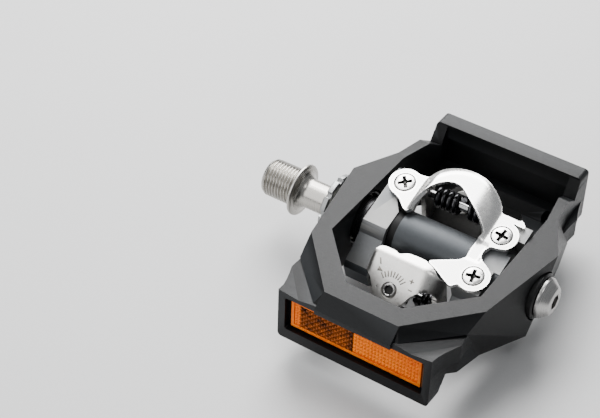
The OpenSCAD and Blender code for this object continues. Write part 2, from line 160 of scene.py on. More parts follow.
# Grain of turned metal: rings round the spindle axis
TURNED = (2600, 40, 40)
MATERIALS = {
    "spindle_steel": material("turned_steel", (0.36, 0.345, 0.32), (0.44, 0.425, 0.395), (0.24, 0.32), 1.0,
                              grain=TURNED, bump=0.008),
    "bearing_steel": material("ground_steel", (0.52, 0.52, 0.52), (0.64, 0.64, 0.64), (0.12, 0.22), 1.0,
                              grain=TURNED, bump=0.03),
    "body_casting": material("painted_casting", (0.115, 0.12, 0.125), (0.16, 0.165, 0.17), (0.42, 0.52), 0.5,
                             bump=0.10, fine=5200, edge_wear_and_highlight=(0.24, 0.24, 0.235)),
    "tube_steel": material("blackened_steel", (0.025, 0.025, 0.026), (0.045, 0.045, 0.047), (0.22, 0.32),
                           0.8, grain=TURNED, bump=0.05),
    "bush_resin": material("bush_resin", (0.62, 0.60, 0.54), (0.72, 0.70, 0.64), (0.45, 0.55)),
    "sleeve_metal": material("sleeve_metal", (0.26, 0.265, 0.265), (0.34, 0.345, 0.345), (0.34, 0.46), 0.9,
                             bump=0.1),
    "seal_rubber": material("seal_rubber", (0.014, 0.014, 0.014), (0.03, 0.03, 0.03), (0.5, 0.65)),
    "plate_nickel": material("satin_nickel", (0.78, 0.77, 0.75), (0.86, 0.85, 0.83), (0.25, 0.30), 1.0,
                             bump=0.006, fine=7000, cloud=90),
    "screw_steel": material("screw_nickel", (0.74, 0.73, 0.71), (0.84, 0.83, 0.81), (0.18, 0.28), 1.0,
                            bump=0.03),
    "claw_steel": material("satin_claw", (0.68, 0.66, 0.63), (0.84, 0.825, 0.79), (0.27, 0.38), 1.0,
                           bump=0.07, fine=6000, cloud=120),
    # The pin's ground steel is darkened as painted shade for where it sits among the black springs.
    "pin_steel": material("pin_steel", (0.20, 0.20, 0.20), (0.30, 0.30, 0.30), (0.15, 0.25), 1.0,
                          grain=TURNED),
    "spring_black": material("black_oxide", (0.035, 0.035, 0.037), (0.06, 0.06, 0.063), (0.16, 0.28), 1.0,
                             bump=0.03),
    "bolt_steel": material("satin_stainless", (0.40, 0.39, 0.38), (0.50, 0.49, 0.48), (0.24, 0.34), 1.0,
                           grain=TURNED, bump=0.02),
    # The cage's lighter edges are painted highlight along its bevels, together with wear.
    "cage_resin": material("moulded_resin", (0.0032, 0.0034, 0.0037), (0.0052, 0.0055, 0.006), (0.33, 0.42),
                           bump=0.16, fine=5200, cloud=35, edge_wear_and_highlight=(0.016, 0.0172, 0.0185), specular=0.13),
    "washer_black": material("black_nylon", (0.004, 0.004, 0.004), (0.008, 0.008, 0.008), (0.35, 0.5),
                             specular=0.25),
    "reflector_amber": material("amber_lens", (0.62, 0.075, 0.0003), (1.0, 0.25, 0.001), (0.28, 0.38), 0.25,
                                grain=(700, 700, 700), bump=0.02, specular=0.12),
    "reflector_backing": material("amber_backing", (0.22, 0.06, 0.01), (0.32, 0.09, 0.015), (0.5, 0.6)),
}
# Darker amber for the lens's coarse field of cells: painted shade for prisms that send back little light.
LENS_PAINTED_SHADE = material("amber_painted_shade", (0.02, 0.004, 0.0005), (0.42, 0.09, 0.002), (0.16, 0.26), 0.7,
                      grain=(520, 520, 520), bump=0.02, specular=0.3, cloud=260)
# Darker tone for the barrel; on the bracket's end faces the same colour is painted shade.
BARREL_TONE_AND_PAINTED_SHADE = material("barrel_tone_and_painted_shade", (0.040, 0.044, 0.048), (0.056, 0.061, 0.066), (0.44, 0.54), 0.7,
                        bump=0.05, fine=5200)
# Near-black painted shade for the deep groove between the bracket and the barrel.
GROOVE_PAINTED_SHADE = material("groove_painted_shade", (0.002, 0.002, 0.002), (0.004, 0.004, 0.004), (0.5, 0.6),
                        specular=0.2)
# Darker colour for the claw's raised marks: painted shade that stands for the shading of their relief.
MARK_PAINTED_SHADE = material("mark_painted_shade", (0.24, 0.22, 0.19), (0.36, 0.34, 0.30), (0.35, 0.5), 0.9, bump=0.05)
# Dark painted shade for the drive recesses of the screws and bolts and for the underside of the claw's
# shell.
RECESS_PAINTED_SHADE = material("recess_painted_shade", (0.03, 0.03, 0.03), (0.06, 0.058, 0.055), (0.35, 0.5), 0.8, bump=0.1)


# ---------- Mesh tools; shapes are built in millimetres ----------

def linked(name, data):
    """A new object in the scene's collection."""
    obj = bpy.data.objects.new(name, data)
    bpy.context.scene.collection.objects.link(obj)
    return obj


def as_object(bm):
    mesh = bpy.data.meshes.new("shape")
    bmesh.ops.recalc_face_normals(bm, faces=bm.faces)
    bm.to_mesh(mesh)
    bm.free()
    return linked("shape", mesh)


def baked(obj):
    """The object with its modifiers applied."""
    graph = bpy.context.evaluated_depsgraph_get()
    mesh = bpy.data.meshes.new_from_object(obj.evaluated_get(graph))
    old = obj.data
    obj.modifiers.clear()
    obj.data = mesh
    bpy.data.meshes.remove(old)
    return obj


def combine(obj, other, operation):
    mod = obj.modifiers.new("combine", "BOOLEAN")
    mod.operation = operation
    mod.object = other
    mod.solver = "MANIFOLD"
    baked(obj)
    bpy.data.objects.remove(other)
    return obj


def union(first, *others):
    for other in others:
        combine(first, other, "UNION")
    return first


def minus(first, *others):
    for other in others:
        combine(first, other, "DIFFERENCE")
    return first


def common(first, *others):
    for other in others:
        combine(first, other, "INTERSECT")
    return first


def moved(obj, matrix):
    obj.data.transform(matrix)
    if matrix.determinant() < 0:
        obj.data.flip_normals()
    return obj


def twin(obj, matrix=HALF_TURN):
    return moved(linked(obj.name, obj.data.copy()), matrix)


def joined(objs):
    """Several separate shells in one mesh."""
    bm = bmesh.new()
    for obj in objs:
        bm.from_mesh(obj.data)
        bpy.data.objects.remove(obj)
    mesh = bpy.data.meshes.new("joined")
    bm.to_mesh(mesh)
    bm.free()
    return linked("joined", mesh)


def cleaned(obj, angle=0.6, merge=0.003):
    """Merges doubled points and dissolves the flat edges a boolean leaves."""
    bm = bmesh.new()
    bm.from_mesh(obj.data)
    bmesh.ops.remove_doubles(bm, verts=bm.verts, dist=merge)
    bmesh.ops.dissolve_degenerate(bm, dist=merge, edges=bm.edges)
    bmesh.ops.dissolve_limit(bm, angle_limit=math.radians(angle), verts=bm.verts, edges=bm.edges)
    bm.to_mesh(obj.data)
    bm.free()
    return obj


def bevelled(obj, width, segments, angle):
    mod = obj.modifiers.new("bevel", "BEVEL")
    mod.width = width
    mod.segments = segments
    mod.limit_method = "ANGLE"
    mod.angle_limit = math.radians(angle)
    mod.use_clamp_overlap = True
    mod.harden_normals = False
    return baked(obj)


def crisp(mesh, width=0.6):
    """Keeps the creases between wide facets sharp, however shallow they are; width is in millimetres."""
    bm = bmesh.new()
    bm.from_mesh(mesh)
    for edge in bm.edges:
        spans = [face.calc_area() / face.calc_perimeter() for face in edge.link_faces]
        if len(spans) == 2 and min(spans) > width * MM and edge.calc_face_angle(0) > math.radians(1):
            edge.smooth = False
    bm.to_mesh(mesh)
    bm.free()


def piece(obj, name, place, slot, body, stands_for=(), smooth=32, others=(), facets=False, weigh=True):
    """Puts a finished shape in the row frame, on its body; faces marked 1, 2 take the other materials.
    facets keeps shallow creases sharp, and weigh lets large faces set the shading of their corners."""
    moved(obj, place)
    obj.name = name
    obj.data.name = name
    zones = [min(face.material_index, len(others)) for face in obj.data.polygons]
    obj.data.materials.clear()
    for surface in (MATERIALS[slot], *others):
        obj.data.materials.append(surface)
    for face, zone in zip(obj.data.polygons, zones):
        face.use_smooth = True
        face.material_index = zone
    obj.data.set_sharp_from_angle(angle=math.radians(smooth))
    if facets:
        crisp(obj.data)
    if weigh:
        obj.modifiers.new("weighted", "WEIGHTED_NORMAL").keep_sharp = True
    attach(obj, body)
    if stands_for:
        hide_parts(*stands_for)
    return obj


def zoned(obj, *tests):
    """Marks the faces that pass a test of (centre, normal) for the piece's further materials."""
    for face in obj.data.polygons:
        face.material_index = 0
        for index, test in enumerate(tests, 1):
            if test(face.center, face.normal):
                face.material_index = index
    return obj


def rounded(points, radii, steps=5):
    """A closed outline whose corners are rounded; radii is one number or one per corner."""
    if not isinstance(radii, (list, tuple)):
        radii = [radii] * len(points)
    result = []
    for i, corner in enumerate(points):
        here = Vector(corner)
        before = Vector(points[i - 1]) - here
        after = Vector(points[(i + 1) % len(points)]) - here
        if radii[i] <= 0:
            result.append(tuple(here))
            continue
        reach = min(radii[i], before.length * 0.48, after.length * 0.48)
        a = here + before.normalized() * reach
        b = here + after.normalized() * reach
        for k in range(steps + 1):
            t = k / steps
            result.append(tuple(a.lerp(here, t).lerp(here.lerp(b, t), t)))
    return result


def band(bm, a, b):
    """Faces between two closed rows of points."""
    for k in range(len(a)):
        n = (k + 1) % len(a)
        bm.faces.new((a[k], a[n], b[n], b[k]))


def rectangle(x0, y0, x1, y1):
    return [(x0, y0), (x1, y0), (x1, y1), (x0, y1)]


def prism(outline, low, high, plane="xy"):
    """An outline pushed from low to high. plane "xy" runs along Z, "yz" along X, "xz" along Y."""
    lift = {"xy": lambda p, h: (p[0], p[1], h), "yz": lambda p, h: (h, p[0], p[1]),
            "xz": lambda p, h: (p[0], h, p[1])}[plane]
    bm = bmesh.new()
    bottom = [bm.verts.new(lift(p, low)) for p in outline]
    top = [bm.verts.new(lift(p, high)) for p in outline]
    bm.faces.new(bottom)
    bm.faces.new(top)
    band(bm, bottom, top)
    return as_object(bm)


def hull(points):
    bm = bmesh.new()
    for p in points:
        bm.verts.new(p)
    done = bmesh.ops.convex_hull(bm, input=bm.verts)
    spare = [v for v in done["geom_unused"] if isinstance(v, bmesh.types.BMVert)]
    bmesh.ops.delete(bm, geom=spare, context="VERTS")
    return as_object(bm)


def box(low, high):
    return prism(rectangle(low[0], low[1], high[0], high[1]), low[2], high[2])


def revolved(profile, count=96, shape=None, axis="x"):
    """A closed body of revolution; profile is [(station, radius)], and shape(i, angle, station, radius) may
    vary the radius round the axis. Rings at zero radius close the ends."""
    bm = bmesh.new()
    rings = []
    for i, (x, r) in enumerate(profile):
        if r <= 0:
            rings.append([bm.verts.new((x, 0, 0))])
            continue
        ring = []
        for k in range(count):
            a = 2 * math.pi * k / count
            radius = shape(i, a, x, r) if shape else r
            ring.append(bm.verts.new((x, radius * math.cos(a), radius * math.sin(a))))
        rings.append(ring)
    pairs = list(zip(rings, rings[1:]))
    if len(rings[0]) > 1:
        pairs.append((rings[-1], rings[0]))
    for a, b in pairs:
        for k in range(count):
            n = (k + 1) % count
            if len(a) == 1 and len(b) == 1:
                continue
            if len(a) == 1:
                bm.faces.new((a[0], b[k], b[n]))
            elif len(b) == 1:
                bm.faces.new((a[n], a[k], b[0]))
            else:
                bm.faces.new((a[k], b[k], b[n], a[n]))
    obj = as_object(bm)
    if axis == "z":
        moved(obj, Matrix.Rotation(math.radians(-90), 4, "Y"))
    return obj


def arc(centre, radius, start, stop, steps=14):
    """Points of an arc between two angles in degrees."""
    angles = [math.radians(start + (stop - start) * k / steps) for k in range(steps + 1)]
    return [(centre[0] + radius * math.cos(a), centre[1] + radius * math.sin(a)) for a in angles]


def mirrored(half):
    return half + [(-x, y) for x, y in reversed(half)]


def rod(radius, x0, x1, count=72):
    return revolved([(x0, 0), (x0, radius), (x1, radius), (x1, 0)], count)


def post(radius, x, y, low, high):
    """A cylinder along Z."""
    return moved(revolved([(low, 0), (low, radius), (high, radius), (high, 0)], 56, axis="z"),
                 Matrix.Translation((x, y, 0)))


def both_ends(shape):
    """The shape and its copy after half a turn about the spindle axis."""
    return shape, twin(shape)


def hexagon(flat):
    """Radius function of a hexagon with that distance across flats."""
    def radius(angle):
        sector = (angle + math.pi / 6) % (math.pi / 3) - math.pi / 6
        return flat / 2 / math.cos(sector)
    return radius


def wire(path, radius, sides=10):
    """A round wire swept along points."""
    bm = bmesh.new()
    points = [Vector(p) for p in path]
    side = None
    rings = []
    for i, p in enumerate(points):
        ahead = points[min(i + 1, len(points) - 1)] - points[max(i - 1, 0)]
        ahead.normalize()
        if side is None:
            side = ahead.orthogonal().normalized()
        side = (side - ahead * side.dot(ahead)).normalized()
        other = ahead.cross(side)
        rings.append([bm.verts.new(p + (side * math.cos(a) + other * math.sin(a)) * radius)
                      for a in [2 * math.pi * k / sides for k in range(sides)]])
    for a, b in zip(rings, rings[1:]):
        band(bm, a, b)
    bm.faces.new(rings[0])
    bm.faces.new(rings[-1])
    return as_object(bm)


def coil(x, radius, wire_r, turns, pitch, start, leg=(), per_turn=28):
    """A helical spring about X, with the points of a leg before its first turn."""
    steps = int(turns * per_turn)
    path = [(x + pitch * k / per_turn, radius * math.cos(start + 2 * math.pi * k / per_turn),
             radius * math.sin(start + 2 * math.pi * k / per_turn)) for k in range(steps + 1)]
    return wire(list(leg) + path, wire_r)


def inside(p, loop):
    odd = False
    j = len(loop) - 1
    for i in range(len(loop)):
        (xi, yi), (xj, yj) = loop[i], loop[j]
        if (yi > p[1]) != (yj > p[1]) and p[0] < (xj - xi) * (p[1] - yi) / (yj - yi) + xi:
            odd = not odd
        j = i
    return odd


def edge_distance(p, loop):
    best = 1e9
    for i in range(len(loop)):
        a, b = Vector(loop[i - 1]), Vector(loop[i])
        ab = b - a
        t = max(0.0, min(1.0, (Vector(p) - a).dot(ab) / max(ab.length_squared, 1e-12)))
        best = min(best, (Vector(p) - a - ab * t).length)
    return best


def dense(loop, spacing):
    """The outline with points no further apart than spacing."""
    result = []
    for i in range(len(loop)):
        a, b = Vector(loop[i]), Vector(loop[(i + 1) % len(loop)])
        parts = max(1, math.ceil((b - a).length / spacing))
        result += [tuple(a.lerp(b, k / parts)) for k in range(parts)]
    return result


def sheet(outline, holes, place, thickness, spacing=0.8, edge=0.22):
    """Formed sheet: a flat outline with holes, carried into space by place(u, v) -> (point, normal),
    given thickness along the normal, with rounded rims."""
    loops = [dense(loop, spacing) for loop in [outline] + holes]
    points, edges = [], []
    for loop in loops:
        first = len(points)
        points += [Vector(p) for p in loop]
        edges += [(first + i, first + (i + 1) % len(loop)) for i in range(len(loop))]
    low = [min(p[k] for p in outline) for k in (0, 1)]
    high = [max(p[k] for p in outline) for k in (0, 1)]
    row = 0
    v = low[1]
    while v < high[1]:
        u = low[0] + (spacing / 2 if row % 2 else 0)
        while u < high[0]:
            p = (u, v)
            if inside(p, loops[0]) and not any(inside(p, h) for h in loops[1:]):
                if min(edge_distance(p, loop) for loop in loops) > spacing * 0.85:
                    points.append(Vector(p))
            u += spacing
        v += spacing * 0.87
        row += 1
    verts, _, faces, *_ = geometry.delaunay_2d_cdt(points, edges, [], 0, 1e-6)
    bm = bmesh.new()
    placed = [place(p[0], p[1]) for p in verts]
    top = [bm.verts.new(Vector(q)) for q, n in placed]
    under = [bm.verts.new(Vector(q) - Vector(n) * thickness) for q, n in placed]
    rim = {}
    for f in faces:
        mid = sum((verts[i] for i in f), Vector((0, 0))) / len(f)
        if not inside(mid, loops[0]) or any(inside(mid, h) for h in loops[1:]):
            continue
        bm.faces.new([top[i] for i in f])
        bm.faces.new([under[i] for i in reversed(f)])
        for a, b in zip(f, f[1:] + f[:1]):
            if (b, a) in rim:
                del rim[(b, a)]
            else:
                rim[(a, b)] = True
    for a, b in rim:
        bm.faces.new((top[b], top[a], under[a], under[b]))
    bmesh.ops.delete(bm, geom=[v for v in bm.verts if not v.link_faces], context="VERTS")
    sharp = [e for e in bm.edges if len(e.link_faces) == 2 and e.calc_face_angle(0) > math.radians(40)]
    bmesh.ops.recalc_face_normals(bm, faces=bm.faces)
    bmesh.ops.bevel(bm, geom=sharp, offset=edge, segments=2, profile=0.5, affect="EDGES", clamp_overlap=True)
    return as_object(bm)


# ---------- Camera, light and floor ----------

def aim_camera():
    azimuth, elevation, roll = math.radians(32.32), math.radians(40.33), math.radians(-2.02)
    distance, aim_right, aim_up = 600.0, 48.7, -14.5
    back = Vector((math.sin(azimuth) * math.cos(elevation), -math.cos(azimuth) * math.cos(elevation),
                   math.sin(elevation)))
    right = Vector((math.cos(azimuth), math.sin(azimuth), 0))
    up = back.cross(right)
    c, s = math.cos(roll), math.sin(roll)
    right, up = right * c - up * s, right * s + up * c
    spot = (back * distance - right * aim_right - up * aim_up + Vector((CAGE_MID, 0, 0))) * MM
    data = bpy.data.cameras.new("camera")
    data.sensor_width = 36.0
    data.lens = 101.58
    data.clip_start = 0.01
    cam = linked("camera", data)
    cam.matrix_world = Matrix(((right.x, up.x, back.x, spot.x), (right.y, up.y, back.y, spot.y),
                               (right.z, up.z, back.z, spot.z), (0, 0, 0, 1)))
    bpy.context.scene.camera = cam


def area_light(name, spot, target, size, power):
    data = bpy.data.lights.new(name, "AREA")
    data.shape = "RECTANGLE"
    data.size, data.size_y = size
    data.energy = power
    obj = linked(name, data)
    obj.location = spot
    obj.rotation_euler = (Vector(target) - Vector(spot)).to_track_quat("-Z", "Y").to_euler()


def stage():
    world = bpy.data.worlds.new("studio")
    bpy.context.scene.world = world
    world.use_nodes = True
    world.node_tree.nodes["Background"].inputs["Color"].default_value = (0.93, 0.96, 1.0, 1)
    world.node_tree.nodes["Background"].inputs["Strength"].default_value = 0.32
    middle = Vector((CAGE_MID * MM, 0, 0))

    def softbox(name, way, distance, size, radiance):
        """A rectangle of light in a direction from the object; radiance is how bright it looks."""
        spot = middle + Vector(way).normalized() * distance
        area_light(name, spot, middle, size, radiance * math.pi * size[0] * size[1])

    softbox("key", (0.3, -0.2, 0.95), 0.9, (0.3, 0.3), 4.0)
    softbox("overhead", (-0.41, 0.157, 0.90), 0.7, (0.34, 0.34), 9.0)
    softbox("back", (-0.42, 0.61, 0.67), 0.8, (0.58, 0.58), 15.0)
    softbox("front", (-0.41, -0.76, 0.46), 0.8, (0.5, 0.6), 2.7)
    softbox("crown", (-0.41, -0.33, 0.85), 0.75, (0.3, 0.3), 3.2)
    low = cad_box[0][2]
    gap = 0.0004
    bpy.ops.mesh.primitive_plane_add(size=6, location=(0, 0, low - gap))
    floor = bpy.context.object
    floor.name = "floor"
    paint = material("floor_paint", (0.56, 0.56, 0.56), (0.6, 0.6, 0.6), (0.6, 0.7), cloud=4)
    floor.data.materials.append(paint)


aim_camera()
stage()


# ---------- Spindle ----------

def spindle_shape():
    start, pitch, crest, depth = -13.8, 1.27, 7.14, 0.74
    thread_from, thread_to = start + 0.9, -1.15
    socket = hexagon(8.0)
    per_turn = 12
    count = int((thread_to - thread_from) / pitch * per_turn)
    profile = [(start + 8.6, 0), (start + 8.0, 3.9), (start + 0.5, 3.99), (start, 4.75), (start, 5.9),
               (start + 0.12, 6.15), (start + 0.5, 6.5)]
    socket_rings = (1, 2)
    first = len(profile)
    profile += [(thread_from + (thread_to - thread_from) * k / count, crest) for k in range(count + 1)]
    last = len(profile) - 1
    profile += [(-0.95, 6.25), (-0.6, 6.15), (-0.2, 6.25), (0, 6.5), (0, 9.5), (0.14, 9.88), (0.45, 10.0),
                (0.95, 9.96), (1.25, 9.7), (1.4, 9.2)]
    profile += [(5.0 - 3.5 * math.sin(a), 9.1 - 3.5 * math.cos(a))
                for a in [math.radians(88 - 88 * k / 16) for k in range(17)]]
    profile += [(14.5, 5.58), (15.6, 5.5), (23.0, 5.5), (24.0, 5.2), (57.0, 5.2), (58.2, 3.86), (60.9, 3.86),
                (60.95, 3.0), (73.1, 3.0), (73.5, 2.6), (73.5, 0)]

    def radius(i, angle, x, r):
        if i in socket_rings:
            return socket(angle)
        if first <= i <= last:
            phase = (x / pitch - angle / (2 * math.pi)) % 1.0
            groove = max(0.0, 1 - abs(phase - 0.5) / 0.40)
            groove = min(1.0, groove * 1.12)
            fade = min(1.0, (x - thread_from) / 0.9, (thread_to - x) / 0.5 + 0.55)
            lead = 0.45 * max(0.0, 1 - (x - thread_from) / 0.7)
            return r - depth * groove * max(0.0, fade) - lead
        return r

    return revolved(profile, 112, radius)


piece(spindle_shape(), "spindle_detail", TO_ROW, "spindle_steel", "spindle", ["spindle"], smooth=24)


# ---------- Crank side: lock sleeve and seal ----------

def lock_sleeve_shape():
    start, notches, deep = 14.6, 10, 1.3
    profile = [(start, 7.65), (start + 0.12, 7.5), (17.2, 7.5), (17.25, 6.0), (23.8, 6.0), (24.0, 6.2),
               (24.0, 6.98), (17.6, 6.98), (17.3, 7.2), (17.3, 11.2), (17.2, 11.6), (16.8, 12.0),
               (15.5, 12.0), (15.1, 11.9), (14.75, 11.5), (start, 11.1), (start, 9.6), (start + 0.35, 9.4),
               (start + 0.35, 8.4), (start, 8.2)]
    rim_first, rim_last = 9, 15
    notch_share, notch_slope = 0.30, 0.06

    def radius(i, angle, x, r):
        if not rim_first <= i <= rim_last:
            return r
        sector = abs((angle * notches / (2 * math.pi) + 0.5) % 1.0 - 0.5) * 2
        return r - deep * min(1.0, max(0.0, (notch_share - sector) / notch_slope))

    return revolved(profile, 240, radius)


piece(lock_sleeve_shape(), "lock_sleeve_detail", IN_SPINDLE_LINE, "sleeve_metal", "mechanism",
      ["lock_sleeve"])

seal = revolved([(14.95, 5.66), (15.2, 5.62), (16.6, 5.66), (17.1, 5.9), (17.1, 7.45), (14.95, 7.45),
                 (14.85, 7.1), (15.1, 6.9), (15.1, 6.3), (14.8, 6.05)], 96)
piece(seal, "dust_seal_detail", IN_SPINDLE_LINE, "seal_rubber", "mechanism", ["dust_seal"])


# ---------- Outboard pivot: bolt and washer ----------

def pivot_bolt_shape():
    socket = hexagon(5.0)
    profile = [(43.2, 0), (43.8, 2.45), (46.55, 2.5), (46.64, 2.95), (46.68, 3.3), (46.64, 4.45),
               (46.45, 4.95), (46.2, 5.3), (43.7, 7.2), (43.4, 7.45), (43.0, 7.56), (42.3, 7.56),
               (42.05, 7.35), (42.0, 7.0), (42.0, 4.0), (27.6, 4.0), (27.4, 3.4), (20.5, 3.4), (20.0, 2.9),
               (20.0, 0)]
    socket_rings = (1, 2)
    return revolved(profile, 120, lambda i, angle, x, r: socket(angle) if i in socket_rings else r)


piece(pivot_bolt_shape(), "pivot_bolt_detail", IN_MECHANISM, "bolt_steel", "mechanism", ["cage_pivot_bolt"],
      smooth=28)
washer = revolved([(39.3, 4.05), (41.75, 4.05), (41.9, 4.3), (41.9, 7.9), (41.75, 8.25), (41.35, 8.62),
                   (40.9, 8.7), (39.5, 8.7), (39.3, 8.5)], 96)
piece(washer, "pivot_washer_detail", IN_MECHANISM, "washer_black", "mechanism", ["pivot_washer"])


# ---------- Mechanism body ----------

# Binding screws, left, right and rear, and the rear claw's pivot pin in the mechanism's frame
SCREWS = [(-20.6, 14.0), (21.1, 9.6), (20.5, -9.4)]
PIN_Y, PIN_Z, PIN_R = -18.0, -3.8, 1.5
# Stations along X: bracket, groove, barrel and the outboard head
BRACKET = (-26.7, -17.0)
GROOVE_END, HEAD = -13.8, (14.5, 25.4)
BARREL_R, GROOVE_R, BORE_R, TUBE_R = 9.2, 8.3, 7.0, 7.8
POST_TOP, DECK_TOP = 9.3, 8.0


def body_shape():
    """Bracket with a round hub and milled flats, the barrel behind its groove, and the outboard head."""
    hub_r, flat = 10.1, 8.6
    half = [(-5.3, flat)] + arc((0, 0), hub_r, 125, 149, 12)
    half += [(-14.2, 2.3), (-19.0, 0.8), (-20.8, -1.0), (-20.8, -7.4), (-19.6, -flat)]
    solid = prism(half + [(-y, -z) for y, z in half], *BRACKET, "yz")
    pocket = [(-17.2, 3.4), (-20.9, 8.4), (-19.0, 9.6), (-16.0, 9.6), (-16.0, 3.4)]
    minus(solid, *both_ends(prism(pocket, 2.0, 9.5)))
    head = [(-15.0, -4.0), (-15.0, POST_TOP), (-3.9, POST_TOP), (-3.6, DECK_TOP), (8.0, DECK_TOP),
            (8.3, POST_TOP), (17.6, POST_TOP), (17.6, 0.0), (10.0, -4.0)]
    eye = [(-8.0, 3.0), (-8.0, -8.4)] + arc((PIN_Y, PIN_Z), 3.0, 270, 120, 10) + [(-14.5, 2.3)]
    union(solid, rod(GROOVE_R, -17.6, -13.0), rod(BARREL_R, GROOVE_END, 15.5, 96))
    union(solid, rod(BARREL_R, 15.0, 27.2, 96))
    lug = box((24.9, 11.0, 2.0), (29.1, 17.3, 9.2))
    ear_post = post(5.5, *SCREWS[0], 6.0, POST_TOP)
    for part in (ear_post, prism(head, *HEAD, "yz"), prism(eye, HEAD[0], 20.5, "yz"), lug):
        union(solid, *both_ends(part))
    deck_cut = box((HEAD[0], -3.6, DECK_TOP), (28.0, 8.0, 12.0))
    minus(solid, *both_ends(deck_cut))
    bolt_thread_r, shank_r = 3.4, 2.0
    cuts = [rod(BORE_R, -30, 17.5), rod(TUBE_R, -30, -18.6), rod(bolt_thread_r, 15.5, 30)]
    for x, y in SCREWS:
        cuts += both_ends(post(shank_r, x, y, 1.4, 14))
    cuts += both_ends(moved(rod(PIN_R, -30, 21.5, 40), Matrix.Translation((0, PIN_Y, PIN_Z))))
    return minus(solid, *cuts)


body = cleaned(body_shape(), 0.4, 0.01)
bevelled(body, 0.4, 2, 28)
# The barrel takes the darker tone, the bracket's end faces beyond the eye take it as painted shade, and the
# groove takes near-black painted shade.
shaded_eye_face_y = 19.6
zoned(body, lambda c, n: -13.9 < c.x < 14.3 and 9.0 < math.hypot(c.y, c.z) < 9.4 or abs(c.y) > shaded_eye_face_y,
      lambda c, n: -17.1 < c.x < -13.7 and math.hypot(c.y, c.z) < 9.1)
piece(body, "mechanism_body_detail", IN_MECHANISM, "body_casting", "mechanism", ["mechanism_body"],
      smooth=35, others=(BARREL_TONE_AND_PAINTED_SHADE, GROOVE_PAINTED_SHADE))


# ---------- Screws ----------

PLATE_TOP, PLATE_THICK = 10.8, 1.5
# How far each screw's cross is turned, in radians
CROSS_TURNS = (0.65, -0.12, 0.2)


def cross_cutter(depth, turn):
    """Tapered cross of a screw drive, pointing down from z = 0."""
    arms = []
    for quarter in (0, math.pi / 2):
        wing = [(x, y, z) for z, half_l, half_w in ((0.4, 2.85, 0.70), (-depth, 1.4, 0.42))
                for x, y in ((-half_l, -half_w), (half_l, -half_w), (half_l, half_w), (-half_l, half_w))]
        arms.append(moved(hull(wing), Matrix.Rotation(quarter + turn, 4, "Z")))
    corners = [math.pi / 4 + math.pi * k / 2 + turn for k in range(4)]
    levels = ((0.4, 1.3), (-depth - 0.35, 0.5))
    centre = [(r * math.cos(a), r * math.sin(a), z) for z, r in levels for a in corners]
    return union(*arms, hull(centre))


def screw_shape(turn):
    """Pan head in its counterbore, with a shank."""
    head_r, rise = 3.55, 0.14
    profile = [(-8.8, 0), (-8.8, 1.7), (-8.4, 2.0), (-1.25, 2.0), (-1.2, head_r - 0.15), (-1.05, head_r),
               (rise - 0.24, head_r), (rise - 0.07, head_r - 0.07), (rise, head_r - 0.28),
               (rise + 0.05, 1.6), (rise + 0.06, 0)]
    screw = minus(revolved(profile, 64, axis="z"), cross_cutter(1.5, turn))
    # The cross recess takes dark painted shade.
    return zoned(screw, lambda c, n: -2.2 < c.z < rise and math.hypot(c.x, c.y) < 2.6)


for side, flip in SIDES.items():
    group = []
    for (x, y), turn in zip(SCREWS, CROSS_TURNS):
        group.append(moved(screw_shape(turn), Matrix.Translation((x, y, PLATE_TOP))))
    piece(joined(group), f"binding_screws_{side}_detail",
          flip @ IN_MECHANISM, "screw_steel", "mechanism", [f"binding_screws_{side}"], smooth=30,
          others=(RECESS_PAINTED_SHADE,))


# ---------- Binding plates ----------

def smooth(t):
    t = max(0.0, min(1.0, t))
    return t * t * (3 - 2 * t)


# The hoop's middle, how high it stands over the plate, and its two edges seen from above
HOOP = Vector((1.2, 11.8))
HOOP_RISE = 3.3
HOOP_OUTER = [(23.8, 17.5), (20.4, 17.8), (17.4, 17.7), (16.6, 18.0), (15.5, 20.2), (13.5, 22.3),
              (11.5, 23.8), (8.4, 25.7), (5.6, 26.9), (2.1, 27.5), (-1.3, 27.6), (-4.6, 27.3), (-8.3, 26.3),
              (-10.9, 24.5), (-12.7, 21.6), (-13.6, 19.8), (-17.0, 19.3)]
HOOP_INNER = [(-13.6, 7.9), (-13.0, 9.6), (-11.7, 12.4), (-10.1, 15.2), (-8.2, 17.6), (-5.9, 19.3),
              (-3.2, 20.1), (-0.7, 19.9), (1.6, 18.6), (4.7, 16.3), (8.5, 13.6), (12.0, 11.0), (14.2, 8.9),
              (15.2, 7.5)]


def plate_place(x, y):
    """Upper surface of the formed plate: flat ears, the raised hoop, and the dip across the barrel's end."""
    ramp_x, ramp_l, fall_x, fall_l = -14.3, 4.4, 6.5, 10.0
    rim_r, rim_w, rim_drop, dip_depth = 12.7, 3.1, 1.1, 0.45

    def height(x, y):
        up = max(0.0, min(1.0, (x - ramp_x) / ramp_l))
        down = max(0.0, min(1.0, (x - fall_x) / fall_l))
        rise = smooth((y - 2.0) / 4.0) * math.sin(math.pi / 2 * up) * (1 - down * down)
        rim = max(0.0, (Vector((x, y)) - HOOP).length - rim_r) / rim_w
        across = smooth((x - 11) / 2.5) * (1 - smooth((x - 18) / 2))
        along = smooth((y + 4.6) / 1.6) * (1 - smooth((y - 3.4) / 1.6))
        return PLATE_TOP + rise * (HOOP_RISE - rim_drop * rim * rim) - dip_depth * across * along

    step = 0.05
    z = height(x, y)
    normal = Vector((z - height(x + step, y), z - height(x, y + step), step)).normalized()
    return (x, y, z), normal


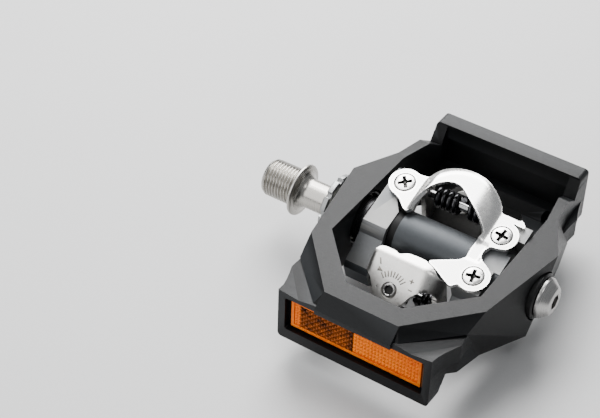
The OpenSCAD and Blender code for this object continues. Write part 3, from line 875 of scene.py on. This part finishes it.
def binding_plate_shape():
    left, right, rear = SCREWS
    slot = [(22.7, 15.25), (22.45, 15.6), (22.7, 15.95), (23.1, 15.9)]
    tongue = [(23.6, 15.75), (26.7, 15.75), (26.5, 16.6), (25.2, 17.9), (24.2, 18.3)]
    left_web = [(-18.6, 6.9), (-15.6, 4.1), (-13.9, 3.5), (-12.9, 4.6), (-13.6, 6.4)]
    wing = [(14.6, 5.0), (14.0, 0.5), (14.4, -3.7), (13.1, -5.6), (6.2, -9.4), (4.0, -10.8), (4.4, -11.6),
            (8.3, -13.1), (11.5, -14.9), (15.3, -16.6)]
    bay = [(22.4, -3.6), (20.2, -2.6), (18.9, -1.2), (18.4, 1.4), (19.6, 3.8), (22.0, 4.2)]
    outline = (arc(left, 5.9, 80, 262) + left_web + HOOP_INNER + wing + arc(rear, 6.0, 238, 398) + bay
               + arc(right, 6.0, -50, 70) + slot + tongue + HOOP_OUTER)
    holes = [arc(p, 4.06, 0, 355, 40) for p in SCREWS]
    return sheet(rounded(outline, 0.8, 3), holes, plate_place, PLATE_THICK, 0.5, 0.2)


plate = binding_plate_shape()
for side, flip in SIDES.items():
    piece(twin(plate, Matrix.Identity(4)), f"binding_plate_{side}_detail", flip @ IN_MECHANISM,
          "plate_nickel", "mechanism", [f"binding_plate_{side}"], smooth=38, weigh=False)
bpy.data.objects.remove(plate)


# ---------- Rear claws ----------

# The claw's outer slope, the tension bolt's place on it, and the ridge above it: how far up the slope it
# starts, its radius and how far it turns
SLOPE = math.radians(32)
BOLT = Vector((-4.0, -25.7, 6.6))
ON_BOLT = Matrix.Translation(BOLT) @ Matrix.Rotation(SLOPE, 4, "X")
RIDGE_FROM, RIDGE_R, RIDGE_TURN = 10.26, 3.0, math.radians(52)


def claw_profile(v):
    """Point (y, z) and slope angle at distance v up the claw's surface from the bolt."""
    if v <= RIDGE_FROM:
        return BOLT.y + v * math.cos(SLOPE), BOLT.z + v * math.sin(SLOPE), SLOPE
    turned = min(RIDGE_TURN, (v - RIDGE_FROM) / RIDGE_R)
    start_y, start_z = BOLT.y + RIDGE_FROM * math.cos(SLOPE), BOLT.z + RIDGE_FROM * math.sin(SLOPE)
    centre_y, centre_z = start_y + RIDGE_R * math.sin(SLOPE), start_z - RIDGE_R * math.cos(SLOPE)
    angle = SLOPE - turned
    y, z = centre_y - RIDGE_R * math.sin(angle), centre_z + RIDGE_R * math.cos(angle)
    rest = v - RIDGE_FROM - RIDGE_R * RIDGE_TURN
    if rest > 0:
        y, z = y + rest * math.cos(angle), z + rest * math.sin(angle)
    return y, z, angle


def claw_v(y):
    """Distance up the claw's surface at which it reaches y."""
    low, high, halvings = 0.0, 20.0, 30
    for _ in range(halvings):
        mid = (low + high) / 2
        if claw_profile(mid)[0] < y:
            low = mid
        else:
            high = mid
    return low


# Where each flank bends down: from which u, its radius, and to which side
CLAW_SIDES = ((5.0, 8.0, 1), (-13.2, 2.0, -1))


def claw_place(u, v):
    """Point and normal of the claw's surface at u across and v up from the bolt."""
    y, z, angle = claw_profile(v)
    up = Vector((0, -math.sin(angle), math.cos(angle)))
    point = Vector((u, y, z))
    for edge_u, radius, way in CLAW_SIDES:
        over = (u - edge_u) * way
        if over > 0:
            t = over / radius
            point = Vector((edge_u + way * radius * math.sin(t), y, z)) - up * radius * (1 - math.cos(t))
            up = up * math.cos(t) + Vector((way, 0, 0)) * math.sin(t)
    return point, up.normalized()


def rear_claw_shape():
    """Formed shell with its bolt boss, two cheeks on the pin, and the adjustment marks."""
    low_edge = [(-14.5, 11.2), (-16.3, 5.6), (-15.2, 3.6), (-12.6, 2.1), (-10.9, 0.4), (-10.2, -1.2),
                (-9.5, -3.3), (-8.4, -4.6), (-3.0, -5.0), (1.2, -4.4), (2.0, -3.4), (2.8, -1.5), (4.5, 1.4),
                (6.6, 3.5), (8.2, 4.3), (10.2, 4.6), (12.2, 4.3), (14.4, 3.2), (15.4, 3.6)]
    hook_edge = [(15.4, -17.4), (11.4, -15.5), (8.0, -13.6), (4.2, -12.2), (3.6, -11.7), (0.0, -11.6),
                 (-3.7, -12.0), (-6.3, -14.2), (-7.8, -13.1), (-11.8, -13.1), (-13.7, -13.9)]
    outline = rounded(low_edge + [(u, claw_v(y)) for u, y in hook_edge], 0.9, 3)
    hole = arc((BOLT.x, 0), 3.0, 0, 350, 35)
    shell = sheet(outline, [hole], claw_place, 2.1, 0.8, 0.28)
    boss = revolved([(-2.9, 1.9), (-1.25, 1.9), (-1.25, 3.02), (-0.1, 3.02), (-0.1, 3.4), (-1.4, 4.3),
                     (-2.5, 4.3), (-2.9, 4.0)], 64, axis="z")
    moved(boss, ON_BOLT)
    parts = [shell, boss]
    for x0, x1, front_z, rear_z in ((-15.1, -13.2, 11.2, 7.6), (10.0, 12.2, 7.5, 3.8)):
        top = [(-14.6, front_z), (-21.0, rear_z)]
        cheek = rounded(top + arc((PIN_Y, PIN_Z), 3.4, 170, 350, 12) + [(-13.6, 4.6)], 0.8, 3)
        side = bevelled(prism(cheek, x0, x1, "yz"), 0.3, 2, 40)
        bore = moved(rod(PIN_R + 0.05, x0 - 1, x1 + 1, 40), Matrix.Translation((0, PIN_Y, PIN_Z)))
        parts.append(minus(side, bore))
    # The shell's faces that turn down or towards +Y take dark painted shade.
    zoned(shell, lambda c, n: n.z < -0.35 or n.y > 0.9)
    # The marks take the darker colour as painted shade.
    marks = [zoned(bar, lambda c, n: False, lambda c, n: True) for bar in claw_marks()]
    return joined(parts + marks)


def mark(points):
    """A raised mark on the claw's slope: an outline in (u, v)."""
    rise = 0.22
    bm = bmesh.new()
    loops = []
    for lift, grow in ((-0.1, 1.0), (rise * 0.6, 1.0), (rise, 0.8)):
        mid = sum((Vector(p) for p in points), Vector((0, 0))) / len(points)
        ring = []
        for p in points:
            q = mid + (Vector(p) - mid) * grow
            spot, up = claw_place(q.x, q.y)
            ring.append(bm.verts.new(spot + up * lift))
        loops.append(ring)
    bm.faces.new(loops[0])
    bm.faces.new(loops[-1])
    for a, b in zip(loops, loops[1:]):
        band(bm, a, b)
    return as_object(bm)


def claw_marks():
    """Fan of ticks round the bolt, an arrow, a plus and a minus."""
    def bar(cx, cy, length, width, angle):
        c, s = math.cos(angle), math.sin(angle)
        corners = [(i * length / 2, j * width / 2) for i, j in ((-1, -1), (1, -1), (1, 1), (-1, 1))]
        return mark([(cx + c * l - s * w, cy + s * l + c * w) for l, w in corners])

    marks = []
    ticks, fan_r = 9, 5.7
    for k in range(ticks):
        a = math.radians(48 + 90 * k / (ticks - 1))
        marks.append(bar(BOLT.x + fan_r * math.cos(a), fan_r * math.sin(a), 2.1, 0.36, a))
    marks.append(mark([(-10.6, 6.4), (-8.7, 5.2), (-10.8, 4.6)]))
    marks.append(bar(-10.9, 8.2, 2.2, 0.4, math.radians(-62)))
    marks.append(bar(2.6, 6.0, 1.7, 0.42, 0))
    marks.append(bar(2.6, 6.0, 1.7, 0.42, math.pi / 2))
    marks.append(bar(3.2, 2.9, 1.5, 0.42, 0))
    return marks


claw = rear_claw_shape()
for side, flip in SIDES.items():
    piece(twin(claw, Matrix.Identity(4)), f"rear_claw_{side}_detail", flip @ IN_MECHANISM, "claw_steel",
          f"rear_claw_{side}", [f"rear_claw_{side}"], smooth=40, others=(RECESS_PAINTED_SHADE, MARK_PAINTED_SHADE),
          weigh=False)
bpy.data.objects.remove(claw)


# ---------- Tension bolts and their plates ----------

def tension_bolt_shape():
    socket = hexagon(3.0)
    tip, pitch, depth, first = -7.2, 0.7, 0.36, 10
    thread = [(tip + 0.08 * k, 1.8) for k in range(75)]
    profile = ([(-0.8, 0), (-0.75, 1.4), (0.16, 1.5), (0.3, 1.78), (0.3, 2.15), (0.2, 2.4), (0.02, 2.52),
                (-0.9, 2.56), (-1.1, 2.4), (-1.15, 1.8)] + thread[::-1] + [(-7.4, 1.4), (-7.4, 0)])

    def radius(i, angle, x, r):
        if i in (1, 2):
            return socket(angle)
        if first <= i < first + len(thread):
            phase = (x / pitch - angle / (2 * math.pi)) % 1.0
            return r - depth * max(0.0, 1 - abs(phase - 0.5) / 0.45)
        return r

    bolt = revolved(profile, 48, radius, axis="z")
    # The hex socket takes dark painted shade.
    return zoned(bolt, lambda c, n: -0.81 < c.z < 0.15 and math.hypot(c.x, c.y) < 1.8)


for side, flip in SIDES.items():
    piece(tension_bolt_shape(), f"tension_bolt_{side}_detail", flip @ IN_MECHANISM @ ON_BOLT, "bolt_steel",
          f"tension_bolt_{side}", [f"tension_bolt_{side}"], smooth=30, others=(RECESS_PAINTED_SHADE,))
    nut = prism(rounded(rectangle(-6, -2.8, 6, 2.8), 0.9, 4), -6.4, -4.6)
    hole = revolved([(-9, 0), (-9, 1.85), (-5, 1.85), (-5, 0)], 40, axis="z")
    piece(bevelled(cleaned(minus(nut, hole)), 0.25, 2, 40), f"tension_plate_{side}_detail",
          flip @ IN_MECHANISM @ ON_BOLT, "spring_black", f"tension_plate_{side}", [f"tension_plate_{side}"])


# ---------- Springs and pins ----------

def claw_spring_shape():
    """Two groups of close coils round the pin, each with a leg up to the nut plate."""
    coil_r, wire_r, pitch = 2.9, 1.05, 2.26
    leg = [(-3.6, 3.9), (-3.2, 2.0)]
    coils = []
    for x, turns in ((-9.7, 4), (3.7, 3)):
        coils.append(coil(x, coil_r, wire_r, turns, pitch, math.pi, [(x, y, z) for y, z in leg]))
    return moved(joined(coils), Matrix.Translation((0, PIN_Y, PIN_Z)))


for side, flip in SIDES.items():
    piece(claw_spring_shape(), f"claw_springs_{side}_detail", flip @ IN_MECHANISM, "spring_black",
          "mechanism", [f"claw_springs_{side}"], smooth=60)
    pin = revolved([(-25.7, 0), (-25.7, 1.25), (-25.45, 1.5), (20.25, 1.5), (20.5, 1.25), (20.5, 0)], 48)
    moved(pin, Matrix.Translation((0, PIN_Y, PIN_Z)))
    piece(pin, f"claw_pin_{side}_detail", flip @ IN_MECHANISM, "pin_steel", "mechanism",
          [f"claw_pin_{side}"])

popup = coil(-31.7, 10.2, 0.58, 1.1, 1.18, 0.6, per_turn=64)
piece(popup, "popup_spring_detail", IN_MECHANISM, "spring_black", "mechanism", ["popup_spring"], smooth=60)


# ---------- Cage ----------

# Heights of the ring and of the end blocks, the end wall's half width, face and top, the lip over the
# pocket behind the wall, and the pocket's deck
RING_TOP, BLOCK_TOP = 12.0, 7.9
WALL_X, WALL_Y, WALL_TOP = 30.0, 56.4, 13.3
LIP_INNER_Y, LIP_LOW, POCKET_Y, DECK = 49.8, 7.3, 51.6, 4.5
CHEEK_Y = 46.0


def above(plane_a, plane_b):
    """Wedge of space above two planes, each given by three points; the first two are their shared crease."""
    reach = 70.0
    crease = [Vector(plane_a[0]), Vector(plane_a[1])]
    along = (crease[1] - crease[0]).normalized() * reach
    ends = [crease[0] - along, crease[1] + along]
    corners = list(ends)
    for plane in (plane_a, plane_b):
        normal = (crease[1] - crease[0]).cross(Vector(plane[2]) - crease[0])
        out = normal.cross(along).normalized() * reach
        if out.dot(Vector(plane[2]) - crease[0]) < 0:
            out = -out
        corners += [end + out for end in ends]
    return hull([tuple(c) for c in corners] + [(c.x, c.y, reach) for c in corners])


def wide_block():
    """Upper half of an end: its top dips to a crease beside each corner."""
    side = [(33.0, -20.0), (33.0, -38.8), (33.5, -43.0)]
    side += [(33.5 - 0.9 * t - 0.7 * math.sin(math.radians(36 * t)), -43 - 3.34 * t) for t in (1, 2, 3)]
    side.append((WALL_X, -WALL_Y))
    block = prism(mirrored(side), -0.5, BLOCK_TOP)
    for way in (1, -1):
        low_a, low_b = (way * 33.5, -43.0, 6.6), (way * 24.9, -53.0, 6.9)
        corner, inner = (way * 29.9, -56.3, BLOCK_TOP), (way * 16.6, -55.5, BLOCK_TOP)
        minus(block, above((low_a, low_b, corner), (low_a, low_b, inner)))
    return block


def narrow_block():
    """Lower half of an end: cheeks that taper to the wall, with rounded corners."""
    outline = mirrored([(32.8, -20.0), (32.8, -26.3), (31.0, -39.0), (30.2, -47.0), (WALL_X, -WALL_Y)])
    profile = [(-20, 0), (-20, -RING_TOP), (-26.3, -RING_TOP), (-38.9, -10.8), (-CHEEK_Y, -6),
               (-LIP_INNER_Y, -12.6), (-LIP_INNER_Y, -WALL_TOP), (-WALL_Y, -WALL_TOP), (-WALL_Y, 0)]
    corner_r, side, low = 3.2, WALL_X + 0.02, -WALL_TOP - 0.01
    front = rounded(mirrored([(side, low), (side, -9.5), (34, -9), (34, 1)]),
                    [corner_r, 0, 0, 0, 0, 0, 0, corner_r], 6)
    near = common(prism(outline, -WALL_TOP, 0.2), prism(profile, -40, 40, "yz"))
    behind = box((-40, -CHEEK_Y - 0.01, -20), (40, 0, 5))
    return common(near, union(prism(front, -60, -CHEEK_Y, "xz"), behind))


def end_pocket():
    """Hollow behind an end wall, under its lip, that thins the block to a deck."""
    profile = [(-24, -20), (-LIP_INNER_Y, -20), (-LIP_INNER_Y, -LIP_LOW), (-POCKET_Y, -LIP_LOW),
               (-POCKET_Y, DECK), (-47, DECK), (-44, 8.4), (-24, 8.4)]
    outline = [(25.5, -POCKET_Y - 0.1), (25.5, -46), (29.6, -24)]
    return common(prism(profile, -40, 40, "yz"), prism(mirrored(outline), -30, 30))


def cage_shape():
    top = mirrored([(14.3, -52.3), (34.6, -29.5), (41.5, 9.0), (32.8, 26.3)])
    skirt = mirrored([(16.6, -55.5), (33.0, -38.8)])
    points = [(x, y, RING_TOP) for x, y in top] + [(x, y, BLOCK_TOP) for x, y in skirt]
    points += [(x, -y, -z) for x, y, z in points]
    solid = hull(points)
    lip = prism([(-52.3, RING_TOP), (-57.6, 7.7), (-57.6, 5.7), (-54, 5.7), (-50, 8)], -14.8, 14.8, "yz")
    for part in (wide_block(), narrow_block(), lip):
        union(solid, *both_ends(part))
    opening = mirrored([(11.0, -44.2), (29.6, -24.0), (29.6, 24.0), (11.0, 44.2)])
    recess = rounded(rectangle(-27.2, -8.9, 27.2, 5.3), 1.0, 4)
    cuts = [prism(opening, -30, 30)]
    cuts += both_ends(end_pocket())
    cuts += both_ends(prism(recess, -60, -53.7, "xz"))
    for x in (-20.5, 20.5):
        hole = moved(revolved([(0, 0), (0, 1.7), (9, 1.7), (9, 0)], 40, axis="z"),
                     Matrix.Translation((x, -45.4, 0)))
        cuts += both_ends(hole)
    # Stepped pivot bores: inboard bush, sleeve and spring, then outboard bush and washer
    cuts += [rod(9.4, -50, -20), rod(12.5, -50, -40.6), rod(11.2, -32.6, -20)]
    cuts += [rod(6, 20, 50), rod(9.2, 39.2, 50)]
    return minus(solid, *cuts)


cage = cleaned(cage_shape(), 0.4, 0.01)
bevelled(cage, 0.5, 3, 16)
piece(cage, "cage_detail", IN_CAGE, "cage_resin", "cage", ["cage"], smooth=40, facets=True)


# ---------- Reflectors ----------

LENS_FACE, LENS_BACK, LENS_X, LENS_LOW, LENS_HIGH, LENS_RIM = -54.78, -53.9, 25.6, -7.8, 4.3, 1.2


def prisms(x0, x1, cols, rows, deep, crossed):
    """A field of moulded prisms across the lens: plain peaks, or cells whose corners stand as high as
    their middle."""
    bm = bmesh.new()
    low, high = LENS_LOW + LENS_RIM, LENS_HIGH - LENS_RIM
    wide, tall = 2 * cols, 2 * rows

    def lift(i, j):
        if i % 2 and j % 2 or crossed and not i % 2 and not j % 2:
            return LENS_FACE
        return LENS_FACE + deep

    grid = [[bm.verts.new((x0 + (x1 - x0) * i / wide, lift(i, j), low + (high - low) * j / tall))
             for j in range(tall + 1)] for i in range(wide + 1)]
    for i in range(1, wide, 2):
        for j in range(1, tall, 2):
            around = [(1, 0), (1, 1), (0, 1), (-1, 1), (-1, 0), (-1, -1), (0, -1), (1, -1)]
            for k in range(8):
                a, b = around[k], around[(k + 1) % 8]
                bm.faces.new((grid[i][j], grid[i + a[0]][j + a[1]], grid[i + b[0]][j + b[1]]))
    ring = [grid[i][0] for i in range(wide)] + [grid[wide][j] for j in range(tall)]
    ring += [grid[i][tall] for i in range(wide, 0, -1)] + [grid[0][j] for j in range(tall, 0, -1)]
    base = [bm.verts.new((v.co.x, LENS_BACK - 0.2, v.co.z)) for v in ring]
    bm.faces.new(base)
    band(bm, ring, base)
    return as_object(bm)


def lens_shape():
    """Plain rim, one coarse field of cells darkened with painted shade and a finer field of bright ones."""
    rim = prism(rectangle(-LENS_X, LENS_LOW, LENS_X, LENS_HIGH), LENS_FACE, LENS_BACK, "xz")
    inner = LENS_X - LENS_RIM
    window = rectangle(-inner, LENS_LOW + LENS_RIM, inner, LENS_HIGH - LENS_RIM)
    minus(rim, prism(window, LENS_FACE - 1, LENS_FACE + 0.6, "xz"))
    bevelled(cleaned(rim), 0.1, 2, 40)
    fields = [prisms(-inner, -22.0, 2, 8, 0.5, False), prisms(-1.0, inner, 20, 6, 0.5, False),
              prisms(-22.0, -1.0, 10, 5, 0.45, True)]
    count = len(rim.data.polygons) + sum(len(f.data.polygons) for f in fields[:2])
    lens = joined([rim] + fields)
    # Faces of the coarse crossed field take the darker amber as painted shade.
    for face in lens.data.polygons:
        face.material_index = 1 if face.index >= count else 0
    return lens


for end, flip in (("rear", SIDES["top"]), ("front", SIDES["bottom"])):
    piece(lens_shape(), f"reflector_{end}_detail", flip @ IN_CAGE, "reflector_amber", "cage",
          [f"reflector_{end}"], smooth=12, others=(LENS_PAINTED_SHADE,))


# Materials for the CAD nodes that stay
for row in frame["record"]["subparts"]:
    node = frame["nodes"][row["node"]]
    node.data.materials.clear()
    node.data.materials.append(MATERIALS[row["material_slot"]])
